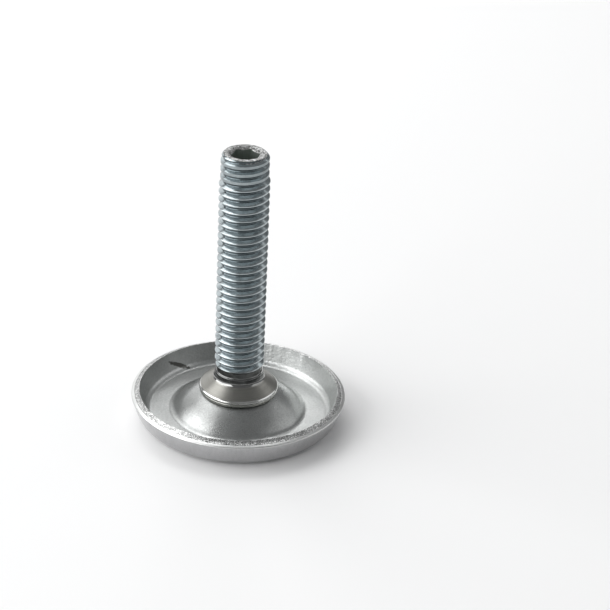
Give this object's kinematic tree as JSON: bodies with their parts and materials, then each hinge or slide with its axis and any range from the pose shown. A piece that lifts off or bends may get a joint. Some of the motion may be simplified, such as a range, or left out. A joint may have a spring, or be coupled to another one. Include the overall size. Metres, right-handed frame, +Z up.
{
  "type": "furniture leveling foot",
  "caption": "Height-adjustable furniture foot: a dished round base plate riveted loosely to a hollow threaded stud with a hexagon drive; the plate swivels and tilts under the stud.",
  "frame": {"origin": "centre of the flat ring under the base plate that stands on the floor", "axes": "+Z up along the stud, away from the floor; X and Y lie in the floor, and the plate is round about Z"},
  "size_m": [0.0342, 0.0342, 0.0458],
  "materials": {
    "plate_zinc": "pressed sheet steel, satin zinc plating",
    "stud_zinc": "rolled thread, bright blue zinc plating",
    "washer_steel": "turned steel, dull zinc plating"
  },
  "bodies": {
    "base": {"base_plate": "plate_zinc"},
    "seat_ring": {"upper_washer": "washer_steel"},
    "retainer": {"lower_washer": "washer_steel"},
    "stud": {"threaded_stud": "stud_zinc"}
  },
  "joints": [
    {"name": "seat_tilt_x", "type": "hinge", "parent": "base", "child": "seat_ring", "pos_m": [0, 0, -0.0076], "axis": [1, 0, 0], "range_deg": [-4, 4]},
    {"name": "seat_tilt_y", "type": "hinge", "parent": "seat_ring", "child": "retainer", "pos_m": [0, 0, -0.0076], "axis": [0, 1, 0], "range_deg": [-4, 4]},
    {"name": "stud_swivel", "type": "hinge", "parent": "retainer", "child": "stud", "pos_m": [0, 0, 0.01], "axis": [0, 0, 1], "continuous": true}
  ]
}
